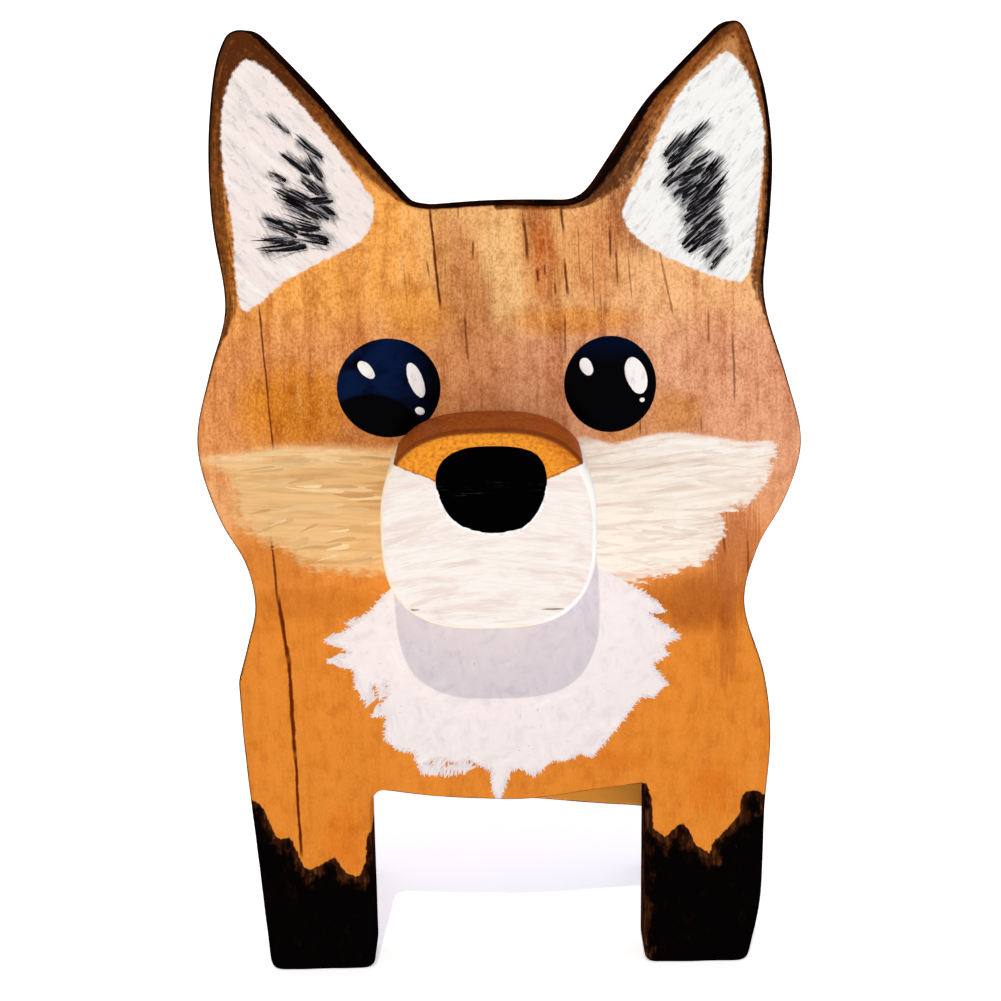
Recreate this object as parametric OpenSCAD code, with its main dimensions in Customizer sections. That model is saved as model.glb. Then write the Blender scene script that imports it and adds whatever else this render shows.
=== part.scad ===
// Eyeglasses display stand: a fox cut from board, standing on four legs.
// The glasses' bridge rests on top of the muzzle block and the folded temples
// lie behind the head. X is across, the front faces -Y, Z is up, and the origin
// is on the table under the middle of the stand. All sizes are in millimetres.

/* [Stand] */
// Thickness of the front board and of the hind board
board_t = 10; // [9:0.5:11]
// Depth of the whole stand, from the muzzle's face to the hind board's back
stand_depth = 64; // [64:1:80]

/* [Muzzle] */
// Width of the muzzle block
muzzle_w = 32.2; // [28:0.1:36]
// Height of the muzzle block
muzzle_h = 30.4; // [26:0.1:34]
// How far the muzzle stands out of the front board
muzzle_depth = 18; // [14:1:20]
// Height of the muzzle's middle above the table
muzzle_z = 77.2; // [72:0.2:82]
// Sideways place of the muzzle's middle, which is glued a little off centre
muzzle_x = -1.8; // [-3:0.2:3]
// Squareness of the muzzle's outline: 2 is an ellipse, more is boxier
muzzle_squareness = 2.8; // [2:0.1:4]

/* [Body block] */
// Width of the block that joins the two boards
body_w = 56; // [50:1:60]
// Height of the block's top above the table
body_top = 54; // [50:1:58]
// Height of the block's underside at its middle
body_bottom = 25.5; // [24.5:0.5:28]
// Slope of the block's underside, which falls towards the right, in degrees
body_slope = 5; // [0:0.5:6]
// Radius of the block's long edges
body_round = 3; // [1:0.5:5]

/* [Hind board] */
// Height of the rump above the table
rump_h = 60; // [56:1:66]
// Outer half width of the hips
hip_half = 37; // [32:1:40]
// Outer half width of the hind feet
hind_foot_out = 39; // [36:1:40]
// Inner half width between the hind legs
hind_foot_in = 26; // [24:1:28]
// Height of the gap between the hind legs
hind_gap_h = 31; // [26:1:32]

/* [Dowels] */
// Diameter of the dowels that hold the muzzle
muzzle_dowel_d = 5; // [4:0.5:6]
// Distance between the muzzle's dowels
muzzle_dowel_gap = 14; // [10:1:18]
// Diameter of the dowels that hold the body block
body_dowel_d = 6; // [5:0.5:8]
// Distance between the body block's dowels
body_dowel_gap = 30; // [20:1:36]
// Depth of each dowel hole in a board
board_hole = 7.5; // [6:0.5:7.5]
// Depth of each dowel hole in a block
block_hole = 10; // [8:0.5:10]

/* [Hidden] */

// The stand stacks from front to back: muzzle, front board, body block, hind board.
muzzle_face = -stand_depth / 2;
front_face = muzzle_face + muzzle_depth;
front_back = front_face + board_t;
hind_back = stand_depth / 2;
hind_face = hind_back - board_t;
body_depth = hind_face - front_back;

dowel_end_gap = 0.5;      // glue space at each end of a dowel
dowel_clearance = 0.05;   // radial clearance round a dowel
body_dowel_z = (body_top + body_bottom) / 2;
through = 1;              // how far a cut runs past a face

curve_steps = 5;          // straight steps between two points of a curve
round_steps = 6;          // straight steps in a rounded corner
oval_steps = 72;          // straight steps round the muzzle
foot_round = 1.5;         // radius of the feet's corners
belly_round = 3;          // radius at the top of the hind legs' gap
round_fn = 48;

stain = [0.86, 0.50, 0.16];
dark_stain = [0.72, 0.40, 0.13];
fur_white = [0.95, 0.91, 0.87];
dowel_wood = [0.82, 0.68, 0.48];

front_foot_out = 39.2;    // outer half width of the front feet
front_foot_in = 22;       // inner half width between the front legs
front_corner_z = 29;      // where the left leg's inner side turns into the belly

// The front board's outline, as [x, z] points seen from the front. Each run is a smooth curve
// through its points. The two sides differ a little, as on a shape sawn by hand.
left_side = [
    [-39.5, 150], [-41.5, 145], [-43, 134], [-43, 122], [-41.6, 109], [-44.5, 99],
    [-47, 87.8], [-44.5, 76.8], [-40.3, 68.5], [-39.1, 61.5], [-40.5, 55.5], [-42.3, 49.3]
];
left_leg_out = [[-42.3, 49.3], [-41.8, 37], [-40.4, 18.5], [-front_foot_out, foot_round]];
belly = [[-20.5, 30.7], [-10.5, 29.3], [2, 28.6], [11.5, 29.6], [22.4, 31]];
right_side = [
    [front_foot_out, foot_round], [41, 11], [41.6, 26], [42.5, 38.5], [41.4, 49], [38.2, 60.5],
    [40.5, 70], [44.5, 77.2], [47, 86.5], [44.5, 97], [41.1, 109], [41.9, 121],
    [42.2, 131], [41, 140.5], [38.2, 149]
];
right_ear_in = [[34.6, 149.8], [26.5, 141.8], [22.8, 137.6], [17, 129], [14, 125], [11.5, 123.8]];
crown = [[11.5, 123.8], [0, 124], [-11.5, 123.4]];
left_ear_in = [[-12.8, 124], [-18.5, 130.6], [-26.7, 140.7], [-35, 149.6]];
left_ear_tip = [[-35, 149.6], [-36.4, 150.5], [-38, 150.6]];
right_ear_tip = [[38.2, 149], [37.3, 150.3], [36.2, 150.6]];

// A Catmull-Rom curve through pts, without its last point, which end_of gives.
function curve_point(a, b, c, d, t) =
    0.5 * (2 * b + (c - a) * t + (2 * a - 5 * b + 4 * c - d) * t * t
    + (3 * b - a - 3 * c + d) * t * t * t);
function smooth(pts) = [
    for (i = [0 : len(pts) - 2], k = [0 : curve_steps - 1])
        curve_point(pts[max(i - 1, 0)], pts[i], pts[i + 1],
            pts[min(i + 2, len(pts) - 1)], k / curve_steps)
];
function end_of(pts) = [pts[len(pts) - 1]];
// Points on a quarter round about [x, z], from angle a to angle a + 90 or a - 90.
function corner(x, z, r, a, turn = 90) = [
    for (k = [0 : round_steps])
        let (angle = a + turn * k / round_steps) [x + r * cos(angle), z + r * sin(angle)]
];

function front_outline() = concat(
    smooth(left_side),
    smooth(left_leg_out),
    corner(-front_foot_out + foot_round, foot_round, foot_round, 180),
    corner(-front_foot_in - foot_round, foot_round, foot_round, 270),
    [[-front_foot_in, front_corner_z]],
    smooth(belly),
    end_of(belly),
    corner(front_foot_in + foot_round, foot_round, foot_round, 180),
    corner(front_foot_out - foot_round, foot_round, foot_round, 270),
    smooth(right_side),
    right_ear_tip,
    smooth(right_ear_in),
    smooth(crown),
    smooth(left_ear_in),
    left_ear_tip
);

// The left half of the hind board, from the top of the rump down to the foot.
hip_curve = [
    [0, rump_h], [-hip_half * 0.45, rump_h - 2], [-hip_half * 0.84, rump_h - 10],
    [-hip_half, rump_h - 24], [-hip_half, rump_h * 0.42], [-hind_foot_out, foot_round]
];
function mirrored(pts) = [for (i = [len(pts) - 1 : -1 : 0]) [-pts[i][0], pts[i][1]]];
function hind_half() = concat(
    smooth(hip_curve),
    corner(-hind_foot_out + foot_round, foot_round, foot_round, 180),
    corner(-hind_foot_in - foot_round, foot_round, foot_round, 270),
    corner(-hind_foot_in + belly_round, hind_gap_h - belly_round, belly_round, 180, -90)
);
function hind_outline() = concat(hind_half(), mirrored(hind_half()));

// The muzzle's outline is a superellipse.
function power(v, e) = sign(v) * pow(abs(v), e);
function muzzle_outline() = [
    for (k = [0 : oval_steps - 1]) let (a = 360 * k / oval_steps) [
        muzzle_x + muzzle_w / 2 * power(cos(a), 2 / muzzle_squareness),
        muzzle_z + muzzle_h / 2 * power(sin(a), 2 / muzzle_squareness)
    ]
];

body_fall = body_w / 2 * tan(body_slope);
function body_outline() = concat(
    corner(body_w / 2 - body_round, body_top - body_round, body_round, 0),
    corner(-body_w / 2 + body_round, body_top - body_round, body_round, 90),
    corner(-body_w / 2 + body_round, body_bottom + body_fall + body_round, body_round, 180),
    corner(body_w / 2 - body_round, body_bottom - body_fall + body_round, body_round, 270)
);

// Extrudes an [x, z] outline from y0 back to y1.
module board(outline, y0, y1) {
    translate([0, y1, 0]) rotate([90, 0, 0]) linear_extrude(y1 - y0) polygon(outline);
}

// A round rod along Y from y0 back to y1.
module rod(x, y0, y1, z, d) {
    translate([x, y1, z]) rotate([90, 0, 0]) cylinder(h = y1 - y0, d = d, $fn = round_fn);
}

// The pair of holes for the muzzle's dowels.
module muzzle_holes(y0, y1) {
    for (side = [-1, 1])
        rod(muzzle_x + side * muzzle_dowel_gap / 2, y0, y1, muzzle_z,
            muzzle_dowel_d + 2 * dowel_clearance);
}

// The pair of holes for the body block's dowels, on one side of the block.
module body_holes(y0, y1) {
    for (side = [-1, 1])
        rod(side * body_dowel_gap / 2, y0, y1, body_dowel_z,
            body_dowel_d + 2 * dowel_clearance);
}

// Head, chest and front legs, sawn in one piece.
module front_board() {
    color(stain) difference() {
        board(front_outline(), front_face, front_back);
        muzzle_holes(front_face - through, front_face + board_hole);
        body_holes(front_back - board_hole, front_back + through);
    }
}

// The block that stands out as the muzzle and carries the glasses' bridge.
module muzzle_block() {
    color(fur_white) difference() {
        board(muzzle_outline(), muzzle_face, front_face);
        muzzle_holes(front_face - block_hole, front_face + through);
    }
}

// The block between the two boards.
module body_block() {
    color(dark_stain) difference() {
        board(body_outline(), front_back, hind_face);
        body_holes(front_back - through, front_back + block_hole);
        body_holes(hind_face - block_hole, hind_face + through);
    }
}

// Rump and hind legs, sawn in one piece.
module hind_board() {
    color(stain) difference() {
        board(hind_outline(), hind_face, hind_back);
        body_holes(hind_face - through, hind_face + board_hole);
    }
}

// A dowel at x that runs from y0 to y1, less the glue space at each end.
module dowel(x, y0, y1, z, d) {
    color(dowel_wood) rod(x, y0 + dowel_end_gap, y1 - dowel_end_gap, z, d);
}

module muzzle_dowel(side) {
    dowel(muzzle_x + side * muzzle_dowel_gap / 2, front_face - block_hole,
        front_face + board_hole, muzzle_z, muzzle_dowel_d);
}

module front_body_dowel(side) {
    dowel(side * body_dowel_gap / 2, front_back - board_hole,
        front_back + block_hole, body_dowel_z, body_dowel_d);
}

module hind_body_dowel(side) {
    dowel(side * body_dowel_gap / 2, hind_face - block_hole,
        hind_face + board_hole, body_dowel_z, body_dowel_d);
}

front_board();
muzzle_block();
body_block();
hind_board();
muzzle_dowel(-1);  // muzzle_dowel_left
muzzle_dowel(1);  // muzzle_dowel_right
front_body_dowel(-1);  // front_body_dowel_left
front_body_dowel(1);  // front_body_dowel_right
hind_body_dowel(-1);  // hind_body_dowel_left
hind_body_dowel(1);  // hind_body_dowel_right
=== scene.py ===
import math
import random

import bpy
import numpy as np
from mathutils import Matrix, Vector, geometry, noise


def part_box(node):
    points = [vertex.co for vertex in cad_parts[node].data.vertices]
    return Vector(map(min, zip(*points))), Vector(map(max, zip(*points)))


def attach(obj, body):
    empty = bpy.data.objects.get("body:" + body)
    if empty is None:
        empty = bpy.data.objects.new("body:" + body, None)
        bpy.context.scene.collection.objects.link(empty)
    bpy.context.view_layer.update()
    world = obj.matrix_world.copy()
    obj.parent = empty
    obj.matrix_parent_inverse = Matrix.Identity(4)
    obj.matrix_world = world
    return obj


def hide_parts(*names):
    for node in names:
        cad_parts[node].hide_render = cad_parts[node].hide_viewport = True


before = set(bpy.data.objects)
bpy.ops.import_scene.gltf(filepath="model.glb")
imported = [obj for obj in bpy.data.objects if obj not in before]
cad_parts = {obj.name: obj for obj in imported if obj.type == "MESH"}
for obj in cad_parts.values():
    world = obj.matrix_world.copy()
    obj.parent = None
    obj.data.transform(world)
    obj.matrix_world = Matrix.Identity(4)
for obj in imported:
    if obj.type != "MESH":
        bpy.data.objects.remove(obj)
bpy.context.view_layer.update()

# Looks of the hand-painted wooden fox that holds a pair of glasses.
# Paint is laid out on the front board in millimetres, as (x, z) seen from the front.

MM = 0.001
ROOT = "root"

# The planes that the boards and the muzzle lie in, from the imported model, in millimetres.
BOARD_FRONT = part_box("front_board")[0].y / MM
MUZZLE_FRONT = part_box("muzzle_block")[0].y / MM
MUZZLE_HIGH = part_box("muzzle_block")[1].z / MM
MUZZLE_X = (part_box("muzzle_block")[0].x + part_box("muzzle_block")[1].x) / 2 / MM

# How far each kind of thick paint stands off the wood, in millimetres.
FUR_THICK = 0.14
EYE_THICK = 0.35
GLINT_THICK = 0.18
NOSE_THICK = 0.16
RIM_THICK = 0.03


# ---------------- colours

def srgb(red, green, blue):
    """A colour as a painter's chart gives it, 0 to 255, in the linear values that shaders use."""
    linear = []
    for value in (red, green, blue):
        share = value / 255
        linear.append(share / 12.92 if share <= 0.04045 else ((share + 0.055) / 1.055) ** 2.4)
    return (*linear, 1.0)


STAIN_BODY = srgb(226, 137, 50)
FACE_STAIN_AND_REFLECTION_LEFT = srgb(236, 161, 98)
FACE_STAIN_AND_REFLECTION_RIGHT = srgb(235, 172, 135)
STAIN_BROW_LEFT = srgb(255, 180, 90)
STAIN_BROW = srgb(244, 188, 122)
STAIN_BROW_RIGHT = srgb(252, 195, 138)
STAIN_DARK = srgb(140, 62, 20)
STAIN_RED = srgb(206, 104, 34)
STAIN_GOLD = srgb(240, 156, 44)
SHADE = srgb(216, 184, 152)
SPECK = srgb(222, 200, 182)
GLOW = srgb(252, 206, 150)
GRAIN_LINE = srgb(98, 34, 9)
EDGE_BLACK = srgb(14, 7, 5)
EDGE_UMBER = srgb(66, 24, 7)
EDGE_OCHRE = srgb(146, 80, 30)
EAR_TAN = srgb(178, 118, 68)
FUR_WHITE = srgb(242, 243, 242)
FUR_WARM = srgb(242, 230, 226)
FUR_BRIGHT = srgb(250, 247, 244)
FUR_GREY = srgb(198, 193, 198)
EAR_GREY = srgb(166, 162, 172)
EAR_SOOT = srgb(52, 52, 58)
CHEST_WHITE = srgb(236, 227, 229)
CHEST_SHADE = srgb(219, 210, 215)
CREAM = srgb(234, 192, 135)
CREAM_DEEP = srgb(208, 158, 102)
CREAM_PALE = srgb(246, 216, 168)
CHEEK_WHITE = srgb(246, 239, 230)
CHEEK_SHADE = srgb(214, 191, 177)
CHEEK_STREAK = srgb(232, 217, 205)
MUZZLE_WHITE = srgb(248, 241, 236)
MUZZLE_STREAK = srgb(204, 178, 170)
MUZZLE_SCRATCH = srgb(96, 78, 70)
MUZZLE_RIM = srgb(252, 238, 210)
CAP_ORANGE = srgb(244, 158, 40)
CAP_DEEP = srgb(196, 98, 26)
BLOCK_GOLD = srgb(255, 172, 70)
CAP_TOP_SHADE = srgb(178, 92, 30)
CAP_EDGE = srgb(122, 46, 12)
SOCK_BLACK = srgb(5, 3, 3)
SOCK_DEEP = srgb(28, 15, 9)
SOCK_BROWN = srgb(46, 20, 11)
SOCK_OCHRE = srgb(96, 54, 24)
EYE_BLACK = srgb(3, 3, 5)
EYE_REFLECTION_NAVY = srgb(8, 24, 62)


# ---------------- outlines

def weld(point):
    """A key that is the same for two mesh points at one place."""
    return (round(point.x * 1e6), round(point.z * 1e6))


def face_outline(node):
    """The outer edge of a CAD node's front face, as an array of (x, z) in millimetres."""
    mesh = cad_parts[node].data
    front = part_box(node)[0].y
    directed = set()
    for polygon in mesh.polygons:
        points = [mesh.vertices[i].co for i in polygon.vertices]
        if max(point.y for point in points) - front > 1e-5:
            continue
        keys = [weld(point) for point in points]
        directed.update(zip(keys, keys[1:] + keys[:1]))
    following = {a: b for a, b in directed if (b, a) not in directed}
    loops = []
    while following:
        start, here = following.popitem()
        loop = [start]
        while here != start:
            loop.append(here)
            here = following.pop(here)
        loops.append(np.array(loop, float) / 1000)
    return max(loops, key=lambda loop: np.ptp(loop[:, 0]) + np.ptp(loop[:, 1]))


def resample(outline, step, smoothing=1):
    """The closed outline with points about step apart, and its small facets smoothed away."""
    closed = np.vstack([outline, outline[:1]])
    along = np.concatenate([[0], np.cumsum(np.linalg.norm(np.diff(closed, axis=0), axis=1))])
    places = np.linspace(0, along[-1], max(12, round(along[-1] / step)), endpoint=False)
    points = np.stack([np.interp(places, along, closed[:, k]) for k in (0, 1)], 1)
    for _ in range(smoothing):
        points = (np.roll(points, 1, 0) + 2 * points + np.roll(points, -1, 0)) / 4
    return points


def curve_through(points, steps=8):
    """A closed Catmull-Rom curve through given points."""
    points = np.array(points, float)
    ring = np.vstack([points[-1:], points, points[:2]])
    made = []
    for a, b, c, d in zip(ring, ring[1:], ring[2:], ring[3:]):
        for k in range(steps):
            t = k / steps
            made.append(0.5 * (2 * b + (c - a) * t + (2 * a - 5 * b + 4 * c - d) * t * t
                               + (3 * b - a - 3 * c + d) * t ** 3))
    return np.array(made)


def heading(angle):
    """The unit vector that points angle degrees up from the x axis."""
    turn = math.radians(angle)
    return np.array([math.cos(turn), math.sin(turn)])


def bent_path(root, angle, length, bend, steps=6):
    """Points from root, about angle degrees up from the x axis, that turn by bend degrees."""
    path = [np.array(root, float)]
    for k in range(steps):
        path.append(path[-1] + heading(angle + bend * (k / steps - 0.5)) * length / steps)
    return np.array(path)


def ellipse(centre, half_axes, tilt=0.0, count=48):
    """An ellipse's points, with its first half axis turned tilt degrees from the x axis."""
    angles = np.linspace(0, 2 * math.pi, count, endpoint=False)
    u, w = half_axes[0] * np.cos(angles), half_axes[1] * np.sin(angles)
    c, s = heading(tilt)
    return np.stack([centre[0] + u * c - w * s, centre[1] + u * s + w * c], 1)


def inside_distance(points, outline):
    """How far each point lies inside a closed outline; below zero outside it."""
    return measure_inside(points, outline)[0]


def measure_inside(points, outline):
    """How far each point lies inside a closed outline, and how far round it is nearest."""
    outline = np.array(outline, float)
    nearest = np.full(len(points), 1e9)
    along = np.zeros(len(points))
    inside = np.zeros(len(points), bool)
    travelled = 0.0
    for a, b in zip(outline, np.roll(outline, -1, 0)):
        edge = b - a
        length = max(float(edge @ edge), 1e-12)
        t = np.clip(((points - a) @ edge) / length, 0, 1)
        far = np.linalg.norm(points - a - t[:, None] * edge, axis=1)
        along = np.where(far < nearest, travelled + t * math.sqrt(length), along)
        nearest = np.minimum(nearest, far)
        travelled += math.sqrt(length)
        crosses = (a[1] > points[:, 1]) != (b[1] > points[:, 1])
        rise = edge[1] if abs(edge[1]) > 1e-12 else 1e-12
        inside ^= crosses & (points[:, 0] < a[0] + (points[:, 1] - a[1]) / rise * edge[0])
    return np.where(inside, nearest, -nearest), along


def outward(points):
    """Unit normals that point out of a closed outline."""
    run = np.roll(points, -1, 0) - np.roll(points, 1, 0)
    normals = np.stack([run[:, 1], -run[:, 0]], 1)
    normals /= np.linalg.norm(normals, axis=1)[:, None] + 1e-12
    following = np.roll(points, -1, 0)
    area = np.sum(points[:, 0] * following[:, 1] - following[:, 0] * points[:, 1])
    return normals if area > 0 else -normals


# ---------------- meshes

def fill(ring, cell, seed):
    """Triangles that fill a closed ring: extra inner points about cell apart, and the faces."""
    draw = random.Random(seed)
    low, high = ring.min(0), ring.max(0)
    rows = []
    for row in range(int((high[1] - low[1]) / (cell * 0.87)) + 1):
        for column in range(int((high[0] - low[0]) / cell) + 1):
            x = low[0] + (column + 0.5 * (row % 2)) * cell + draw.uniform(-0.12, 0.12) * cell
            z = low[1] + row * cell * 0.87 + draw.uniform(-0.12, 0.12) * cell
            rows.append((x, z))
    inner = np.array(rows)
    inner = inner[inside_distance(inner, ring) > 0.6 * cell]
    every = [Vector(p) for p in np.vstack([ring, inner])]
    result = geometry.delaunay_2d_cdt(every, [], [list(range(len(ring)))], 1, 1e-6)
    first = [origin[0] if origin else None for origin in result[3]]
    faces = [tuple(first[i] for i in face) for face in result[2]]
    return inner, [face for face in faces if None not in face and len(set(face)) == 3]


def new_object(name, data):
    """A new object with this data, in the scene."""
    made = bpy.data.objects.new(name, data)
    bpy.context.scene.collection.objects.link(made)
    return made


def build(name, points, faces, material, attributes=None):
    """A smooth mesh object from points in millimetres, with its faces made to look outward."""
    mesh = bpy.data.meshes.new(name)
    mesh.from_pydata((np.array(points, float) * MM).tolist(), [], faces)
    for title, values in (attributes or {}).items():
        if np.ndim(values) == 2:
            layer = mesh.attributes.new(title, "FLOAT_COLOR", "POINT")
            layer.data.foreach_set("color", np.array(values, np.float32).ravel())
        else:
            layer = mesh.attributes.new(title, "FLOAT", "POINT")
            layer.data.foreach_set("value", np.array(values, np.float32))
    mesh.validate()
    piece = new_object(name, mesh)
    mesh.materials.append(material)
    bpy.context.view_layer.objects.active = piece
    piece.select_set(True)
    bpy.ops.object.mode_set(mode="EDIT")
    bpy.ops.mesh.select_all(action="SELECT")
    bpy.ops.mesh.normals_make_consistent(inside=False)
    bpy.ops.object.mode_set(mode="OBJECT")
    piece.select_set(False)
    mesh.shade_smooth()
    mesh.set_sharp_from_angle(angle=math.radians(50))
    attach(piece, ROOT)
    return piece


def board_rings(outline, front, back, arris, seed):
    """Rings of points from a board's front, over both arrises, to its back. The hand that
    sanded the arrises took off a little more here and less there."""
    wear = np.array([
        arris * (1 + 0.35 * noise.noise(Vector((*p, seed)) * 0.22)) for p in outline
    ])
    turns = [math.radians(angle) for angle in (90, 60, 30, 0)]
    quarter = [(1 - math.cos(turn), 1 - math.sin(turn)) for turn in turns]
    levels = [(inset, front + wear * drop) for inset, drop in quarter]
    levels += [(inset, back - wear * drop) for inset, drop in reversed(quarter)]
    rings = []
    for inset, depth in levels:
        places = outline - outward(outline) * (wear * inset)[:, None]
        rings.append(np.column_stack([places[:, 0], depth, places[:, 1]]))
    return rings


def joined_rings(ring_count, count):
    """The faces between rings of count points each, that follow one another."""
    faces = []
    for first in range(0, (ring_count - 1) * count, count):
        for i in range(count):
            j = (i + 1) % count
            faces.append((first + i, first + j, first + count + j, first + count + i))
    return faces


def sawn_board(name, node, material, paint, arris, step, cells, seed):
    """A board sawn to the CAD node's outline, with its arrises sanded round by hand.
    step is how fine its outline is, and cells how fine its front and back are.
    paint(places) gives the attributes that lay out the paint, for (x, z) places."""
    outline = resample(face_outline(node), step, smoothing=2)
    outline = np.roll(outline, -int(np.argmin(outline[:, 1])), 0)
    front, back = (corner.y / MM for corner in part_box(node))
    rings = board_rings(outline, front, back, arris, seed)
    count = len(outline)
    points = [p for ring in rings for p in ring]
    faces = joined_rings(len(rings), count)
    for ring, depth, cell in ((0, front, cells[0]), (len(rings) - 1, back, cells[1])):
        base = ring * count
        inner, inner_faces = fill(rings[ring][:, [0, 2]], cell, seed)
        start = len(points)
        points += [(x, depth, z) for x, z in inner]
        for face in inner_faces:
            faces.append(tuple(base + i if i < count else start + i - count for i in face))
    points = np.array(points)
    attributes = paint(points[:, [0, 2]])
    inside, attributes["along"] = measure_inside(points[:, [0, 2]], outline)
    attributes["edge"] = np.maximum(inside, 0)
    attributes["front"] = np.clip((front + 0.6 * arris - points[:, 1]) / (0.5 * arris), 0, 1)
    sides = np.minimum(points[:, 1] - front, back - points[:, 1]) / arris
    attributes["side"] = np.clip(sides - 0.2, 0, 1)
    piece = build(name, points, faces, material, attributes)
    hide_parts(node)
    return piece


def puddle(name, outline, material, surface, height, soften, cell=0.7, seed=1):
    """A pool of paint inside an outline, which swells to height over soften millimetres."""
    inner, faces = fill(outline, cell, seed)
    places = np.vstack([outline, inner])
    depth = np.maximum(inside_distance(places, outline), 0)
    lift = height * (1 - np.exp(-3 * depth / soften))
    lift[:len(outline)] = -0.02
    points = [(x, surface - up, z) for (x, z), up in zip(places, lift)]
    floor = tuple(range(len(outline)))
    return build(name, points, faces + [floor], material)


class Strokes:
    """Many raised brush strokes in one mesh. Each is a flat closed tube that tapers off."""

    across = ((-1, 0), (-0.6, 0.64), (0, 1), (0.6, 0.64), (1, 0), (0, -0.5))

    def __init__(self, surface, seed):
        self.surface = surface
        self.draw = random.Random(seed)
        self.points = []
        self.faces = []
        self.tints = []
        self.bristles = []

    def add(self, root, angle, length, width, tint, bend=0.0, lift=0.06, blunt=0.25, fine=0.7):
        """One stroke from root. blunt is how fast its root swells, fine how slim its tip is."""
        path = bent_path(root, angle, length, bend)
        run = np.gradient(path, axis=0)
        run /= np.linalg.norm(run, axis=1)[:, None] + 1e-9
        normal = np.stack([-run[:, 1], run[:, 0]], 1)
        base = len(self.points)
        sides = len(self.across)
        number = self.draw.random() * 50
        for k, (place, sideways) in enumerate(zip(path, normal)):
            t = (k + 0.35) / (len(path) - 0.3)
            swell = min(1, t / blunt) ** 0.5 * (1 - t) ** fine
            for u, up in self.across:
                x, z = place + sideways * u * width / 2 * swell
                self.points.append((x, self.surface - up * lift * min(1, 0.3 + swell), z))
                self.tints.append(tint)
                self.bristles.append(number + u * width / 2)
        for k in range(len(path) - 1):
            for s in range(sides):
                a, b = base + k * sides + s, base + k * sides + (s + 1) % sides
                self.faces.append((a, b, b + sides, a + sides))
        last = base + (len(path) - 1) * sides
        self.faces.append(tuple(range(base, base + sides)))
        self.faces.append(tuple(range(last + sides - 1, last - 1, -1)))

    def finish(self, name, material):
        attributes = {"tint": np.array(self.tints), "bristle": np.array(self.bristles)}
        return build(name, self.points, self.faces, material, attributes)


# ---------------- paint layout

EAR_LEFT = curve_through([
    (-37.6, 145.7), (-34.2, 145.2), (-29, 139.8), (-23.4, 132.6), (-19.4, 126.6),
    (-18.2, 123.4), (-20.4, 118.8), (-27.6, 115.2), (-32.5, 112.6), (-36.2, 109.6),
    (-39, 108.6), (-39.8, 114), (-40, 122), (-41, 131), (-40.4, 140)
])
EAR_RIGHT = curve_through([
    (35.6, 145.8), (38.8, 142), (40.6, 136), (40.9, 131), (39.8, 120), (38.6, 112.4),
    (35.4, 111.6), (29, 114), (22.4, 117.6), (19.4, 122), (22, 128), (27.6, 139.2), (32.6, 144.2)
])
CHEEK_LEFT = curve_through([
    (-46.4, 85.4), (-40, 86.4), (-33, 87.3), (-25.5, 87.2), (-18, 86.3), (-13, 86), (-13, 67),
    (-20, 66.8), (-26, 67), (-31.6, 68.6), (-34, 70.8), (-38.6, 73), (-41.6, 76.6), (-41.4, 80),
    (-42.6, 83)
])
CHEEK_RIGHT = curve_through([
    (11, 86), (18, 86.7), (25, 88.1), (31, 87.8), (38, 86.6), (43, 86.2), (42.4, 83.2),
    (41, 79.4), (38.6, 76.4), (35.2, 75.4), (34.6, 71.6), (32, 67.6), (26, 65.6), (18, 64),
    (11, 63.5)
])
CHEST = [
    (-13, 69), (-19.5, 62.4), (-21.6, 60), (-25, 58.6), (-24, 58), (-28.4, 56), (-24.6, 54),
    (-28.2, 52.6), (-24, 51), (-23.8, 48.4), (-22, 44.8), (-20.8, 49), (-19.9, 45.8),
    (-18.9, 49), (-18.6, 46.6), (-21.4, 43.1), (-19, 43.3), (-19.4, 39.4), (-17.2, 37.4),
    (-15, 37.1), (-13.6, 33.5), (-11.8, 33), (-7.4, 33.1), (-6, 33.9), (-10.6, 34.1),
    (-12.8, 35.2), (-11, 35.9), (-7.6, 35), (-6.2, 35.7), (-3.6, 34.2), (-2.4, 33.6),
    (-2.4, 30.4), (-1.8, 29), (-0.8, 29.2), (0.6, 33.4), (2.4, 34), (4.4, 32.6), (7.6, 35.2),
    (9.3, 34.9), (12, 36.2), (13.8, 35.6), (15.4, 37.4), (17.6, 40), (19.7, 42.8), (21.6, 45.4),
    (24, 45.5), (26, 47.8), (23.6, 51), (26.2, 52.4), (25.4, 54), (28.2, 55.4), (23, 59.4),
    (25.8, 59.6), (22.6, 62.6), (17, 66), (11, 69)
]
SOCK_LEFT = [
    (-60, 30.4), (-41.5, 30), (-39.4, 28.6), (-37.4, 23.4), (-36.6, 22.9), (-35, 23.1),
    (-33.3, 18.6), (-32.6, 17.4), (-30.5, 18.2), (-28, 19.6), (-26.8, 17.6), (-26, 16.6),
    (-24.2, 16.1), (-23.1, 18.6), (-22.9, 21.5), (-22.5, 23.7), (0, 24.6), (0, -9), (-60, -9)
]
SOCK_RIGHT = [
    (21.2, 31), (22.5, 31), (23.4, 28.4), (23.5, 23.6), (25.4, 21.8), (28, 24.3), (29.4, 23),
    (30.4, 20.4), (32.9, 18.8), (33.1, 20.6), (35.4, 23), (37.5, 25.6), (37.7, 28.2),
    (38.5, 29.3), (40.4, 29.5), (42, 28.4), (60, 28.4), (60, -9), (21.2, -9)
]
NOSE = curve_through([
    (-9.6, 84.9), (-9, 87.2), (-7.4, 88.9), (-4.6, 89.9), (-1, 90.1), (2.6, 89.8), (5.2, 88.9),
    (6.6, 87), (7, 84.4), (6.4, 81.6), (5.2, 79.3), (3.4, 77.6), (1, 76.9), (-2, 76.8),
    (-5.2, 77.6), (-7.6, 79.3), (-9, 81.9)
])
EYE_LEFT = ellipse((-16.9, 96.1), (8.1, 7.8))
EYE_RIGHT = ellipse((17.3, 96), (7.2, 7.6))

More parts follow.
